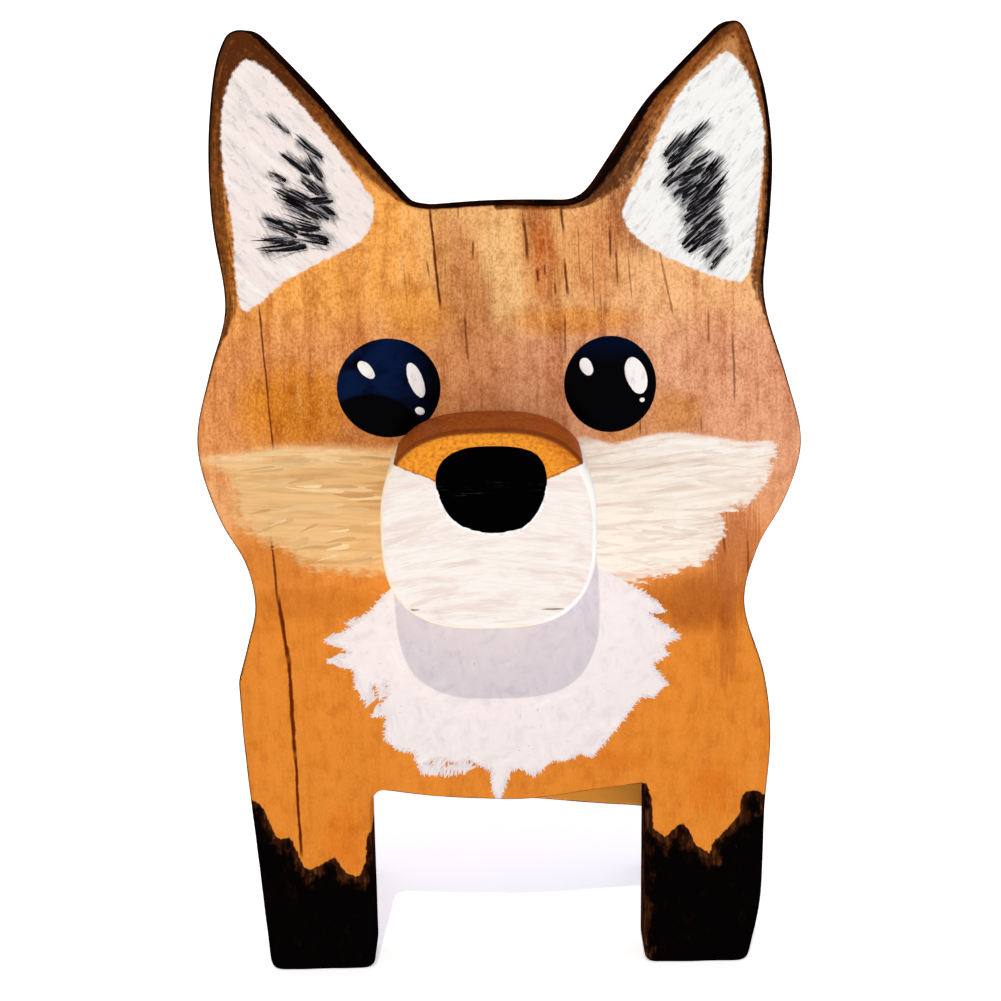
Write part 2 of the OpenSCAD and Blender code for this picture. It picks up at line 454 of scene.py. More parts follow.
# How the dark edge of each ear runs: height, width of black, width of brown, and how light the
# brown is, for the left and right ear's outer and inner sides.
EDGE_PAINT = {
    ("left", "outer"): [
        (96, 0.15, 0.3, 0.4), (104, 0.25, 0.7, 0.4), (110, 0.3, 2.0, 0.5), (118, 0.35, 3.0, 0.5),
        (134, 0.4, 3.8, 0.3), (142, 0.4, 5.0, 0.1), (147, 0.4, 8, 0.0)],
    ("left", "inner"): [
        (119, 0.15, 0.3, 0.5), (123.8, 0.2, 0.3, 0.6), (126, 0.5, 1.6, 0.8),
        (129, 0.5, 2.8, 0.8), (135, 0.5, 3.4, 0.7), (141, 0.5, 4.4, 0.35), (146, 0.4, 8, 0.0)],
    ("right", "inner"): [
        (119, 0.1, 0.25, 0.6), (122.4, 0.2, 0.6, 0.6), (126.6, 0.9, 4.2, 0.1),
        (130, 1.3, 4.6, 0.05), (135, 0.8, 3.2, 0.3), (139, 0.3, 2.2, 0.7), (150, 0.3, 2.4, 0.6)],
    ("right", "outer"): [
        (88, 0.08, 0.2, 0.4), (106, 0.25, 0.5, 0.3), (112, 0.6, 2.2, 0.3), (119, 0.9, 2.6, 0.5),
        (128, 1.0, 1.8, 0.7), (138, 0.8, 2.2, 0.6), (146, 0.4, 2.6, 0.4)],
}

# Bold dry-brush marks in the ears: x, z, direction in degrees, length and width.
EAR_MARKS_LEFT = [
    (-32, 136.5, -46, 3.2, 0.2), (-27.5, 132.5, -42, 3.8, 0.6), (-29.5, 130.5, -36, 4, 0.7),
    (-27, 129.5, -53, 3.6, 0.5), (-32.5, 128.5, -28, 2.2, 0.4), (-27, 127, -39, 4.2, 0.7),
    (-30, 125.4, -27, 4.8, 1.4), (-26.5, 125, 5, 3.6, 0.6), (-29, 123.5, -28, 5.4, 1.4),
    (-26, 123.4, -35, 3.6, 0.8), (-33.5, 122, -26, 2.8, 0.5), (-32, 121, -19, 3.8, 1.1),
    (-28.6, 120.5, -12, 4, 1.1), (-33, 119, -4, 3.4, 0.5), (-32, 118, 6, 6, 0.8),
    (-27, 119.4, -15, 3.6, 1)
]
EAR_MARKS_RIGHT = [
    (27.5, 132, 46, 3.8, 0.8), (30, 133, 42, 5.8, 0.7), (28.5, 130.5, 40, 4.8, 1.1),
    (31, 130, 36, 3.4, 0.5), (27.5, 127.6, 42, 3.8, 0.7), (30, 128, 30, 4.8, 0.9),
    (33, 128.4, 54, 4, 0.9), (29.5, 125.6, 32, 4.6, 1.1), (32.4, 127, 44, 4.2, 0.8),
    (30.5, 124.6, 40, 4.8, 1.3), (33, 125, 48, 4.6, 0.9), (31.4, 123, 36, 6, 1.2),
    (31.6, 121.4, 40, 5.8, 1.2), (33, 120.4, 38, 2.6, 0.7), (31.6, 119, 42, 6.2, 1.4),
    (32.6, 118.2, 34, 4.4, 0.8), (33.4, 116.4, 44, 3.2, 0.5), (34, 115, 48, 3.4, 0.4)
]


def edge_widths(places):
    """The widths of the black and the brown along the edge, and how light the brown is."""
    x, z = places[:, 0], places[:, 1]
    slant = 38 - np.clip(150 - z, 0, 50) * 0.21
    widths = np.zeros((3, len(places)))
    for (ear, side), rows in EDGE_PAINT.items():
        rows = np.array(rows)
        here = (x < 0) if ear == "left" else (x >= 0)
        here = here & ((np.abs(x) > slant) if side == "outer" else (np.abs(x) <= slant))
        for k in range(3):
            widths[k] = np.where(here, np.interp(z, rows[:, 0], rows[:, k + 1]), widths[k])
    return widths


def smudges(places):
    """1 on the bold marks in the ears, falling off round them like grey, half-dry paint."""
    near = np.zeros(len(places))
    for x, z, angle, length, width in EAR_MARKS_LEFT + EAR_MARKS_RIGHT:
        c, s = heading(angle)
        along = (places[:, 0] - x) * c + (places[:, 1] - z) * s
        across = (places[:, 1] - z) * c - (places[:, 0] - x) * s
        past = np.maximum(np.abs(along) - length / 2, 0)
        near = np.maximum(near, np.exp(-(past / 1.2) ** 2 - (across / (0.7 + width)) ** 2))
    return near


def paint_front(places):
    """Signed distances into each painted area of the front board, and its edge paint."""
    black, brown, light = edge_widths(places)
    return {
        "ear": np.maximum(inside_distance(places, EAR_LEFT), inside_distance(places, EAR_RIGHT)),
        "smudge": smudges(places),
        "cheek_left": inside_distance(places, CHEEK_LEFT),
        "cheek_right": inside_distance(places, CHEEK_RIGHT),
        "sock": np.maximum(inside_distance(places, SOCK_LEFT),
                           inside_distance(places, SOCK_RIGHT)),
        "ink": black,
        "burn": brown,
        "light": light,
    }


def paint_hind(places):
    """The hind legs' socks end in a ragged line, and the arris is dark all round."""
    wave = 1.6 * np.sin(places[:, 0] * 1.9) + 1.1 * np.sin(places[:, 0] * 4.3 + 1)
    return {"sock": 20 + wave - places[:, 1], **paint_plain(places)}


def paint_plain(places):
    """A thin dark edge and no pattern."""
    count = len(places)
    return {"ink": np.full(count, 0.2), "burn": np.full(count, 0.35), "light": np.full(count, 0.4)}


# ---------------- shader helpers

class Value:
    """A number in a material's nodes, which adds and multiplies like a plain one."""

    def __init__(self, shader, socket):
        self.shader = shader
        self.socket = socket

    def __add__(self, other):
        return self.shader.math("ADD", self, other)

    def __sub__(self, other):
        return self.shader.math("SUBTRACT", self, other)

    def __mul__(self, other):
        return self.shader.math("MULTIPLY", self, other)

    def __truediv__(self, other):
        return self.shader.math("DIVIDE", self, other)

    def __abs__(self):
        return self.shader.math("ABSOLUTE", self)

    def centred(self, amount):
        """Noise, which is about a half, as plus or minus amount."""
        return (self - 0.5) * (2 * amount)

    def smooth(self, low, high):
        """0 where this is under low, 1 where it is over high, and smooth between."""
        return self.shader.add("MapRange", {"Value": self, "From Min": low, "From Max": high},
                               "Result", interpolation_type="SMOOTHSTEP")

    def fade(self, low, high, a, b, amount=None, blend="MIX"):
        """a where this is under low, and b over high, or only as much of b as amount says."""
        share = self.smooth(low, high)
        return self.shader.mix(share if amount is None else share * amount, a, b, blend)


class Shader:
    """A small builder for one material's nodes. Its place, x, y and z are in millimetres."""

    def __init__(self, name):
        self.material = bpy.data.materials.new(name)
        self.material.use_nodes = True
        self.tree = self.material.node_tree
        self.tree.nodes.clear()
        self.surface = self.tree.nodes.new("ShaderNodeBsdfPrincipled")
        output = self.tree.nodes.new("ShaderNodeOutputMaterial")
        self.tree.links.new(self.surface.outputs[0], output.inputs[0])
        metres = self.add("TexCoord", {}, "Object")
        self.place = self.add("VectorMath", {0: metres, "Scale": 1 / MM}, operation="SCALE")
        self.x, self.y, self.z = (self.add("SeparateXYZ", {0: self.place}, k) for k in range(3))

    def link(self, source, socket):
        if isinstance(source, Value):
            self.tree.links.new(source.socket, socket)
        else:
            socket.default_value = source

    def add(self, kind, inputs, output=0, **settings):
        """A node fed with inputs, by their names or numbers, and the value that it gives."""
        made = self.tree.nodes.new("ShaderNode" + kind)
        for key, value in settings.items():
            setattr(made, key, value)
        for socket, source in inputs.items():
            self.link(source, made.inputs[socket])
        return Value(self, made.outputs[output])

    def math(self, operation, a, b=0.0, clamp=False):
        return self.add("Math", {0: a, 1: b}, operation=operation, use_clamp=clamp)

    def __getitem__(self, name):
        """The mesh's own value of this name."""
        return self.add("Attribute", {}, "Fac", attribute_name=name)

    def vector(self, x=0.0, y=0.0, z=0.0):
        return self.add("CombineXYZ", {0: x, 1: y, 2: z})

    def noise(self, scales, detail=3.0, rough=0.55, warp=0.0, turn=0.0, place=None):
        """Noise over place, turned in the board's plane and stretched by scales into streaks."""
        turned = self.add("VectorRotate", {"Vector": place or self.place,
                                           "Angle": math.radians(turn)}, rotation_type="Y_AXIS")
        scaled = self.add("VectorMath", {0: turned, 1: scales}, operation="MULTIPLY")
        return self.add("TexNoise", {"Vector": scaled, "Scale": 1.0, "Detail": detail,
                                     "Roughness": rough, "Distortion": warp}, "Fac")

    def mix(self, share, a, b, blend="MIX"):
        return self.add("Mix", {"Factor": share, "A": a, "B": b}, "Result",
                        data_type="RGBA", blend_type=blend)

    def finish(self, colour, roughness, bump=None, depth=0.05, specular=0.0):
        """Fills in the surface. bump is a height that stands for depth millimetres."""
        self.link(colour, self.surface.inputs["Base Color"])
        self.link(roughness, self.surface.inputs["Roughness"])
        self.surface.inputs["Specular IOR Level"].default_value = specular
        if bump:
            normal = self.add("Bump", {"Height": bump, "Distance": depth * MM})
            self.link(normal, self.surface.inputs["Normal"])
        return self.material


# ---------------- wood

# Dark grain lines: x and z at the top, x and z at the bottom, half width, strength.
GRAIN_LINES = [
    (-36.4, 110, -35.1, 86, 0.12, 0.9), (-35.1, 88, -36.3, 76, 0.12, 0.8),
    (-36.3, 78, -35.4, 62, 0.17, 0.9), (-35.4, 64, -34.1, 52, 0.27, 1.0),
    (-34.1, 54, -33.8, 36, 0.27, 1.0), (-33.8, 38, -33.4, 19, 0.2, 1.0),
    (-9.9, 124.5, -8.5, 107.5, 0.17, 0.95), (12.6, 121, 12.9, 112, 0.08, 0.6),
    (14.8, 119, 15, 107, 0.08, 0.55), (20.2, 117, 20.8, 108.4, 0.09, 0.6),
    (15.9, 111, 16.1, 105, 0.07, 0.5), (-14, 116, -13.6, 108, 0.07, 0.4),
    (-5.5, 125, -5.5, 121.5, 0.1, 0.6), (-3.4, 119, -3.4, 115.5, 0.14, 0.8),
    (-10.5, 116, -10, 112.5, 0.12, 0.7), (4.4, 122.5, 5, 114.5, 0.2, 0.9),
    (6.4, 114.4, 6.5, 111.6, 0.2, 0.9), (7.5, 115, 7.6, 112.8, 0.14, 0.8),
    (9, 112, 9.1, 109.8, 0.14, 0.8), (10, 124.5, 10.5, 118.8, 0.18, 0.9),
    (10.5, 116.2, 11, 109, 0.17, 0.9), (10.4, 107.5, 10.5, 100, 0.15, 0.7),
    (17.4, 121, 17.6, 114.5, 0.16, 0.85), (18.4, 117.5, 18.7, 110.5, 0.13, 0.75),
    (-5, 108, -4.4, 99, 0.16, 0.7), (24.4, 119.6, 27.2, 105.7, 0.13, 0.6),
    (32.4, 108, 32.6, 101, 0.12, 0.6), (36.2, 104, 36.6, 92, 0.14, 0.65),
    (21.9, 91.5, 21.9, 87.6, 0.12, 0.7), (31.3, 91, 31.4, 88, 0.12, 0.6),
    (34.5, 75.5, 35.2, 68, 0.16, 0.7), (38.6, 72, 38.8, 64, 0.14, 0.6),
    (-42, 69, -41.6, 55, 0.1, 0.5)
]
# Patches of stain, and a few of painted shadow: centre x and z, half width, half height, strength,
# colour.
STAIN_AND_SHADOW_PATCHES = [
    (0.6, 113, 3, 9, 0.6, srgb(252, 212, 150)), (6.7, 121, 3, 5.5, 0.8, srgb(178, 90, 38)),
    (7.6, 115, 3, 6, 0.7, STAIN_RED), (-4.4, 109, 3.6, 8, 0.8, srgb(194, 118, 64)),
    (-5, 116.5, 2.4, 5, 0.5, srgb(214, 138, 84)), (20.6, 121.6, 4.4, 5, 0.8, srgb(148, 70, 26)),
    (14.5, 116.6, 5, 7.6, 0.5, srgb(226, 144, 76)), (12, 106, 10, 2.4, 0.65, STAIN_GOLD),
    (-11.6, 107.4, 5, 4.5, 0.55, STAIN_GOLD), (-32, 93.4, 9.4, 7.2, 0.95, srgb(232, 146, 40)),
    (-20, 88.4, 8, 2, 0.55, srgb(184, 108, 44)), (-29, 92.4, 6.4, 5.4, 0.6, srgb(206, 122, 34)),
    (19, 88.6, 5.4, 2.2, 0.65, srgb(216, 146, 72)), (27.4, 91.4, 4.8, 3.6, 0.75, srgb(214, 140, 66)),
    # The three patches low on the right of the neck are partly stain and partly painted shadow of a
    # glasses' rim.
    (31.4, 61, 9, 5, 0.65, srgb(156, 76, 28)), (35.4, 54, 2.2, 7, 0.45, srgb(162, 80, 28)),
    (36.6, 68.5, 4.4, 8, 0.75, srgb(184, 104, 56)), (-43.6, 78, 3.4, 6, 0.45, srgb(244, 190, 136)),
    (-35.6, 69, 9, 3.6, 0.5, srgb(206, 120, 38)), (33, 30, 4, 4.4, 0.55, srgb(214, 108, 25)),
    # The wide faint patch at x -30.5, z 62 is painted shadow of a glasses' rim alone.
    (-26.4, 22.6, 3.6, 5, 0.55, srgb(218, 114, 25)), (-30.5, 62, 12, 3, 0.35, srgb(172, 92, 25)),
    (18.5, 35, 4.5, 1.8, 0.4, srgb(212, 106, 23))
]


def wood_tone(shader):
    """The stain's colour: deep orange on the body, paler and pinker over the face and brow. The
    face's tones are stain mixed with a painted reflection, the pinkish haze of lenses in front of
    it.
    """
    x, z = shader.x, shader.z
    brow = x.fade(-15, -7, STAIN_BROW_LEFT, STAIN_BROW)
    brow = x.fade(7, 20, brow, STAIN_BROW_RIGHT)
    # Stain and painted reflection: a pinkish haze over the face, strongest on the right.
    face = x.fade(-18, 16, FACE_STAIN_AND_REFLECTION_LEFT, FACE_STAIN_AND_REFLECTION_RIGHT)
    face = z.fade(101, 112, face, brow)
    return z.fade(60, 86, STAIN_BODY, face)


def wood_colour(shader, marked=True, turn=0.0):
    """Orange-stained pine with its grain turned from upright, and the grain's height."""
    broad = shader.noise((0.2, 0.1, 0.02), 3, 0.5, 0.5, turn)
    streak = shader.noise((0.75, 0.4, 0.05), 4, 0.62, turn=turn)
    fine = shader.noise((3.2, 1.5, 0.22), 3, 0.6, turn=turn)
    speck = shader.noise((2.8, 2.8, 2.0), 2, 0.7, turn=turn)
    cloud = shader.noise((0.42, 0.42, 0.3), 4, 0.65, turn=turn)
    colour = stain_and_shadow_patches(shader, wood_tone(shader), streak, fine) if marked else STAIN_BODY
    figured = shader.z.smooth(62, 104) * 0.7 + 0.3
    grit = shader.z.smooth(60, 100) * 0.7 + 0.2
    for value, low, high, amount in (
            (broad, 0.46, 0.76, 0.7), (streak, 0.48, 0.74, 0.7), (fine, 0.5, 0.8, 0.5)):
        share = value.smooth(low, high) * figured * amount
        colour = shader.mix(share, colour, SHADE, "MULTIPLY")
    pale = streak.smooth(0.46, 0.28) * figured * shader.z.smooth(70, 104)
    colour = shader.mix(pale * 0.35, colour, GLOW)
    colour = speck.fade(0.4, 0.74, colour, SPECK, grit, "MULTIPLY")
    mottle = cloud.smooth(0.44, 0.74) * (figured * 0.6 + 0.4)
    colour = shader.mix(mottle, colour, SPECK, "MULTIPLY")
    colour = speck.fade(0.5, 0.3, colour, GLOW, grit * 0.2)
    if marked:
        colour = grain_lines(shader, colour)
    return colour, streak * 0.5 + fine


def stain_and_shadow_patches(shader, colour, streak, fine):
    """Deeper stain where it pooled, and painted shadow in a few patches. The tall patches are drawn
    out along the grain.
    """
    ragged = streak.centred(2.2) + fine.centred(1.4)
    for centre_x, centre_z, wide, high, strength, tint in STAIN_AND_SHADOW_PATCHES:
        u = (shader.x - centre_x) / wide
        w = (shader.z - centre_z) / high
        far = u * u + w * w + (ragged if high > wide else ragged * 0.4)
        colour = far.fade(1.5, 0.1, colour, tint, strength)
    return colour


def grain_lines(shader, colour):
    """Dark lines of resin along the grain, each a little crooked and of uneven width."""
    x, z = shader.x, shader.z
    crook = shader.noise((0.0, 0.0, 0.1), 2).centred(0.35)
    uneven = shader.noise((0.6, 0.3, 0.5), 3, 0.65)
    for top_x, top_z, low_x, low_z, half, strength in GRAIN_LINES:
        slope = (top_x - low_x) / (top_z - low_z)
        centre = z * slope + (low_x - slope * low_z)
        width = uneven * (3.4 * half)
        line = abs(x - centre - crook).smooth(width, width * 0.35)
        fade = min(2.0, 0.3 * (top_z - low_z))
        ends = z.smooth(low_z, low_z + fade) * z.smooth(top_z, top_z - fade)
        colour = shader.mix(line * ends * strength, colour, GRAIN_LINE)
    return colour


def arris_paint(shader, colour):
    """Black and brown brushed along the board's edge, but not inside the left leg."""
    bare = colour
    edge, side = shader["edge"], shader["side"]
    along_edge = shader.vector(shader["along"] * 0.16, edge * 1.5, side * 3.0)
    drag = shader.noise((1, 1, 1), 4, 0.65, 0.3, place=along_edge)
    crumb = shader.noise((1.3, 1.3, 1.3), 3, 0.7)
    ruffle = drag.centred(0.6) + crumb.centred(0.4)
    share = edge / shader["burn"]
    light = drag.centred(1.5) + crumb.centred(1.1) + share * 0.7 - 0.35
    light = shader.math("ADD", shader["light"], light, clamp=True)
    brown = shader.mix(light, EDGE_UMBER, EDGE_OCHRE)
    colour = (share + ruffle).fade(1.15, 0.6, colour, brown, 0.92)
    inked = edge / shader["ink"] + ruffle
    colour = inked.fade(1.25, 0.6, colour, EDGE_BLACK)
    worn = drag.fade(0.4, 0.8, EDGE_BLACK, EDGE_UMBER)
    colour = shader.mix(side, colour, worn)
    inside = shader.x.smooth(-19, -20) * shader.x.smooth(-26, -25)
    return shader.mix(inside * shader.z.smooth(40, 36), colour, bare)


def sock_paint(shader, colour):
    """Black socks, dry-brushed brown along their ragged tops."""
    rag = shader.noise((1.7, 1.7, 1.1), 3, 0.6)
    blot = shader.noise((0.6, 0.6, 0.4), 4, 0.65)
    upright = shader.noise((1.9, 1.9, 0.3), 3, 0.6)
    level = shader["sock"] + rag.centred(0.4)
    brown = upright.fade(0.42, 0.72, SOCK_BROWN, SOCK_OCHRE)
    black = blot.fade(0.55, 0.8, SOCK_BLACK, SOCK_DEEP, 0.6)
    deep = (level + blot.centred(4.8)).smooth(-0.3, 2.2)
    paint = shader.mix(deep, brown, black)
    paint = level.fade(0.45, 0.1, paint, SOCK_DEEP, 0.6)
    mask = level.smooth(-0.1, 0.14)
    return shader.mix(mask, colour, paint), mask


def brushed(shader, pale, deep, scales, turn, low, high):
    """Thin paint with the brush's streaks in it."""
    streak = shader.noise(scales, 4, 0.62, 0.4, turn)
    return streak.fade(low, high, pale, deep), streak


def ear_paint(shader, colour, rough_edge):
    """White patches in the ears, with grey brush marks, and grey smudges round the marks."""
    sides = []
    for turn, base in ((40, FUR_WARM), (-42, FUR_WHITE)):
        paint, _ = brushed(shader, base, FUR_GREY, (0.75, 1, 0.14), turn, 0.48, 0.84)
        bright = shader.noise((0.6, 1, 0.12), 3, 0.6, turn=turn + 12)
        paint = bright.fade(0.48, 0.75, paint, FUR_BRIGHT, 0.7)
        scribble = shader.noise((1.0, 1, 0.34), 4, 0.7, 1.2, turn + 6)
        sides.append(scribble.fade(0.52, 0.74, paint, EAR_GREY, 0.65))
    white = shader.x.fade(-1, 1, *sides)
    for turn, low, high in ((30, 1, -1), (-44, -1, 1)):
        here = shader.x.smooth(low, high)
        hair = shader.noise((2.4, 1, 0.25), 4, 0.75, turn=turn)
        smudge = shader["smudge"] * here + hair.centred(1.1)
        white = smudge.fade(0.35, 1.35, white, EAR_SOOT, here)
    level = shader["ear"] + rough_edge.centred(0.6)
    mask = level.smooth(-0.15, 0.3) * shader["front"]
    return shader.mix(mask, colour, white), mask


def cheek_paint(shader, colour, rough_edge):
    """Cheeks dragged out sideways: cream on the left, white on the right, thin at the ends."""
    flat_edge = shader.noise((0.5, 0.5, 1.3), 4, 0.68)
    drag = flat_edge.centred(2.6) + rough_edge.centred(1.0)
    drag = drag * shader.z.smooth(88, 83)
    masks = []
    for area, soft, pale, deep, top, turn in (
            ("cheek_left", 1.0, CREAM, CREAM_DEEP, CREAM_PALE, 87),
            ("cheek_right", 0.3, CHEEK_WHITE, CHEEK_SHADE, FUR_BRIGHT, 95)):
        paint, streak = brushed(shader, pale, deep, (0.9, 1, 0.07), turn, 0.4, 0.76)
        # Painted highlight: paler paint along the top edge of each cheek, as on a ridge that catches
        # the light.
        lit = shader.z.smooth(83.4, 86) * streak.smooth(0.7, 0.4)
        paint = shader.mix(lit * 0.8, paint, top)
        level = shader[area] + drag
        thin = (level + flat_edge.centred(5)).smooth(-2.4, 2.8) * 0.45 + 0.53
        masks.append(level.smooth(-soft, soft) * shader["front"] * thin)
        colour = shader.mix(masks[-1], colour, paint)
    return colour, shader.math("MAXIMUM", *masks)


def front_board_material():
    shader = Shader("painted_pine_front")
    colour, height = wood_colour(shader)
    rough_edge = shader.noise((1.2, 1.2, 1.2), 4, 0.66)
    tan = rough_edge.fade(0.45, 0.75, EAR_TAN, EDGE_OCHRE)
    colour = shader.z.fade(124, 140, colour, tan, 0.75)
    colour = arris_paint(shader, colour)
    colour, ear = ear_paint(shader, colour, rough_edge)
    colour, cheek = cheek_paint(shader, colour, rough_edge)
    colour, sock = sock_paint(shader, colour)
    dull = shader.math("MAXIMUM", shader.math("MAXIMUM", ear, cheek), sock)
    return shader.finish(colour, dull * 0.25 + 0.45, height)


def hind_board_material():
    shader = Shader("painted_pine_hind")
    colour, height = wood_colour(shader, marked=False)
    colour = arris_paint(shader, colour)
    colour, sock = sock_paint(shader, colour)
    return shader.finish(colour, sock * 0.25 + 0.45, height)


def body_block_material():
    shader = Shader("stained_pine_block")
    colour, height = wood_colour(shader, marked=False, turn=90)
    colour = shader.mix(0.8, colour, BLOCK_GOLD)
    return shader.finish(arris_paint(shader, colour), 0.45, height)


def dowel_material():
    shader = Shader("bare_dowel")
    fibre = shader.noise((2.4, 0.12, 2.4))
    colour = shader.mix(fibre, srgb(214, 184, 140), srgb(168, 130, 86))
    return shader.finish(colour, 0.7, fibre, specular=0.2)


# ---------------- paint materials

# Two short scratches low on the muzzle: centre x and z, half length.
MUZZLE_SCRATCHES = [(7.5, 65.1, 1.5), (-13.4, 65.4, 1.0)]


def muzzle_white(shader, off, edge, broad, fine, hair):
    """The muzzle's white, dragged across, with a painted highlight as a bright rim on the right, and
    a warm rim.
    """
    white = broad.fade(0.42, 0.72, MUZZLE_WHITE, srgb(236, 219, 211))
    for value, low, high, amount in ((fine, 0.46, 0.76, 0.26), (hair, 0.52, 0.7, 0.34)):
        white = value.fade(low, high, white, MUZZLE_STREAK, amount)
    white = fine.fade(0.42, 0.3, white, FUR_BRIGHT, 0.7)
    for middle, height, half in MUZZLE_SCRATCHES:
        u = (shader.x - middle) / half
        w = (shader.z - height) / 0.16
        near = (u * u + w * w + hair.centred(2)).smooth(1.5, 0.5)
        white = shader.mix(near * 0.7, white, MUZZLE_SCRATCH)
    # Painted highlight: brighter white along the right-hand edge, wider towards the top.
    wide = shader.z.smooth(78, 86) * 0.5 + 0.6
    right = edge.smooth(wide + 0.2, wide) * off.smooth(6, 10)
    white = shader.mix(right, white, srgb(255, 253, 251))
    warm = edge.smooth(0.6, 0.3) * off.smooth(9, 5)
    return shader.mix(warm, white, MUZZLE_RIM)


def muzzle_cap(shader, off, edge, fine):
    """The muzzle's orange top: its upper face darker with painted shadow, painted shade near its
    edge on the right, and a dark line of paint along the edge.
    """
    grain = shader.noise((1.6, 0.5, 1.9), 4, 0.7)
    cap = grain.fade(0.4, 0.72, CAP_ORANGE, CAP_DEEP)
    # Painted shadow: the upper face is a darker brown, as in the shadow of a glasses' bridge resting
    # on it.
    top = grain.fade(0.35, 0.7, CAP_TOP_SHADE, STAIN_DARK)
    cap = shader.y.fade(MUZZLE_FRONT + 0.7, MUZZLE_FRONT + 1.6, cap, top)
    # Painted shade: deeper orange near the edge, towards the right of the front.
    shaded = edge.smooth(3.2, 1.0) * off.smooth(3, 12)
    cap = shader.mix(shaded * fine.smooth(0.36, 0.56) * 0.7, cap, CAP_DEEP)
    near_front = shader.y.smooth(MUZZLE_FRONT + 2.4, MUZZLE_FRONT + 1.0)
    return shader.mix(edge.smooth(0.75, 0.3) * near_front * 0.9, cap, CAP_EDGE)


def muzzle_material():
    """White below and orange above, with the brush dragged across."""
    shader = Shader("painted_muzzle")
    edge = shader["edge"]
    off = shader.x - MUZZLE_X
    arched = shader.vector(shader.x, shader.y, shader.z + off * off * 0.007)
    broad = shader.noise((0.12, 0.3, 0.45), 4, 0.6, 1.2, 4, arched)
    fine = shader.noise((0.11, 0.5, 1.6), 4, 0.68, 0.6, -3, arched)
    hair = shader.noise((0.17, 0.5, 4.4), 4, 0.7, 0.7, 5, arched)
    white = muzzle_white(shader, off, edge, broad, fine, hair)
    cap = muzzle_cap(shader, off, edge, fine)
    brim = abs(off - 0.6) * 0.42 + (MUZZLE_HIGH - 11.0)
    waver = shader.noise((0.9, 0.9, 0.9)).centred(0.4)
    above = shader.z - brim + waver
    cap = above.fade(0.4, 0.15, cap, STAIN_DARK, 0.55)
    colour = above.fade(-0.08, 0.12, white, cap)
    return shader.finish(colour, fine * 0.2 + 0.45, fine + hair, 0.06, specular=0.1)


def fur_material():
    """The chest's thick white paint: short dabs of the brush, and a few grey specks."""
    shader = Shader("chest_white")
    down = shader.noise((0.6, 1, 0.25), 4, 0.62, 0.5, 10)
    across = shader.noise((0.55, 1, 0.25), 4, 0.62, 0.5, -64)
    cloud = shader.noise((0.2, 0.2, 0.2))
    dab = cloud.fade(0.4, 0.6, down, across)
    colour = dab.fade(0.45, 0.8, CHEST_WHITE, CHEST_SHADE)
    colour = dab.fade(0.46, 0.25, colour, FUR_BRIGHT, 0.4)
    pepper = shader.noise((1.1, 1.1, 1.1), 2, 0.6)
    colour = pepper.fade(0.7, 0.77, colour, srgb(140, 130, 138), 0.5)
    return shader.finish(colour, 0.6, dab, 0.08, specular=0.05)


def stroke_material(name):
    """Paint of each stroke's own tint, streaked by the bristles."""
    shader = Shader(name)
    across = shader.vector(shader["bristle"] * 5.0)
    bristle = shader.noise((1, 1, 1), 3, 0.6, place=across)
    patchy = shader.noise((0.7, 0.7, 0.7), 3, 0.6)
    shade = (bristle + patchy) * -0.22 + 1.2
    tint = shader.add("Attribute", {}, "Color", attribute_name="tint")
    colour = shader.add("VectorMath", {0: tint, "Scale": shade}, operation="SCALE")
    return shader.finish(colour, 0.6, bristle, 0.04)


def eye_material():
    """Black enamel, with a painted blue reflection over it above a curved line."""
    shader = Shader("eye_enamel")
    x, z = shader.x, shader.z
    brush = shader.noise((0.3, 0.3, 0.3), 3, 0.6, turn=20)
    u = x - (EYE_LEFT[:, 0].mean() - 3)
    w = z - (EYE_LEFT[:, 1].mean() - 10)
    far = shader.math("SQRT", u * u + w * w)
    left = far.smooth(8.9, 9.5) * x.smooth(-9, -17)
    right = z.smooth(98.5, 103) * x.smooth(6, 14)
    # Painted reflection: blue over the upper left of the left eye and, faintly, over the top of the
    # right eye.
    painted_reflection = (left + right * 0.35) * brush.smooth(0.25, 0.6)
    return shader.finish(shader.mix(painted_reflection, EYE_BLACK, EYE_REFLECTION_NAVY), 0.18, brush, 0.03, specular=0.01)


def nose_material():
    """Flat black paint with light grey marks across it: scratches, and painted highlight where the
    grain catches the light.
    """
    shader = Shader("nose_black")
    scratch = shader.noise((0.25, 1, 4.5), 3, 0.6)
    band = shader.z.smooth(82, 83.2) * shader.z.smooth(85.2, 84.2)
    # Scratches and painted highlight: pale grey streaks in a band across the nose.
    worn = scratch.smooth(0.6, 0.7) * band
    colour = shader.mix(worn * 0.16, srgb(2, 2, 3), srgb(120, 116, 112))
    return shader.finish(colour, 0.5, scratch)


def white_dot_material():
    shader = Shader("highlight_white")
    patchy = shader.noise((0.9, 1, 0.4), 2)
    colour = patchy.fade(0.5, 0.75, srgb(250, 248, 247), srgb(216, 206, 212))
    return shader.finish(colour, 0.4, patchy, 0.03, specular=0.1)


# ---------------- strokes

def tinted(draw, pale, deep):
    """A colour somewhere between two."""
    share = draw.random()
    return tuple(a + (b - a) * share for a, b in zip(pale, deep))


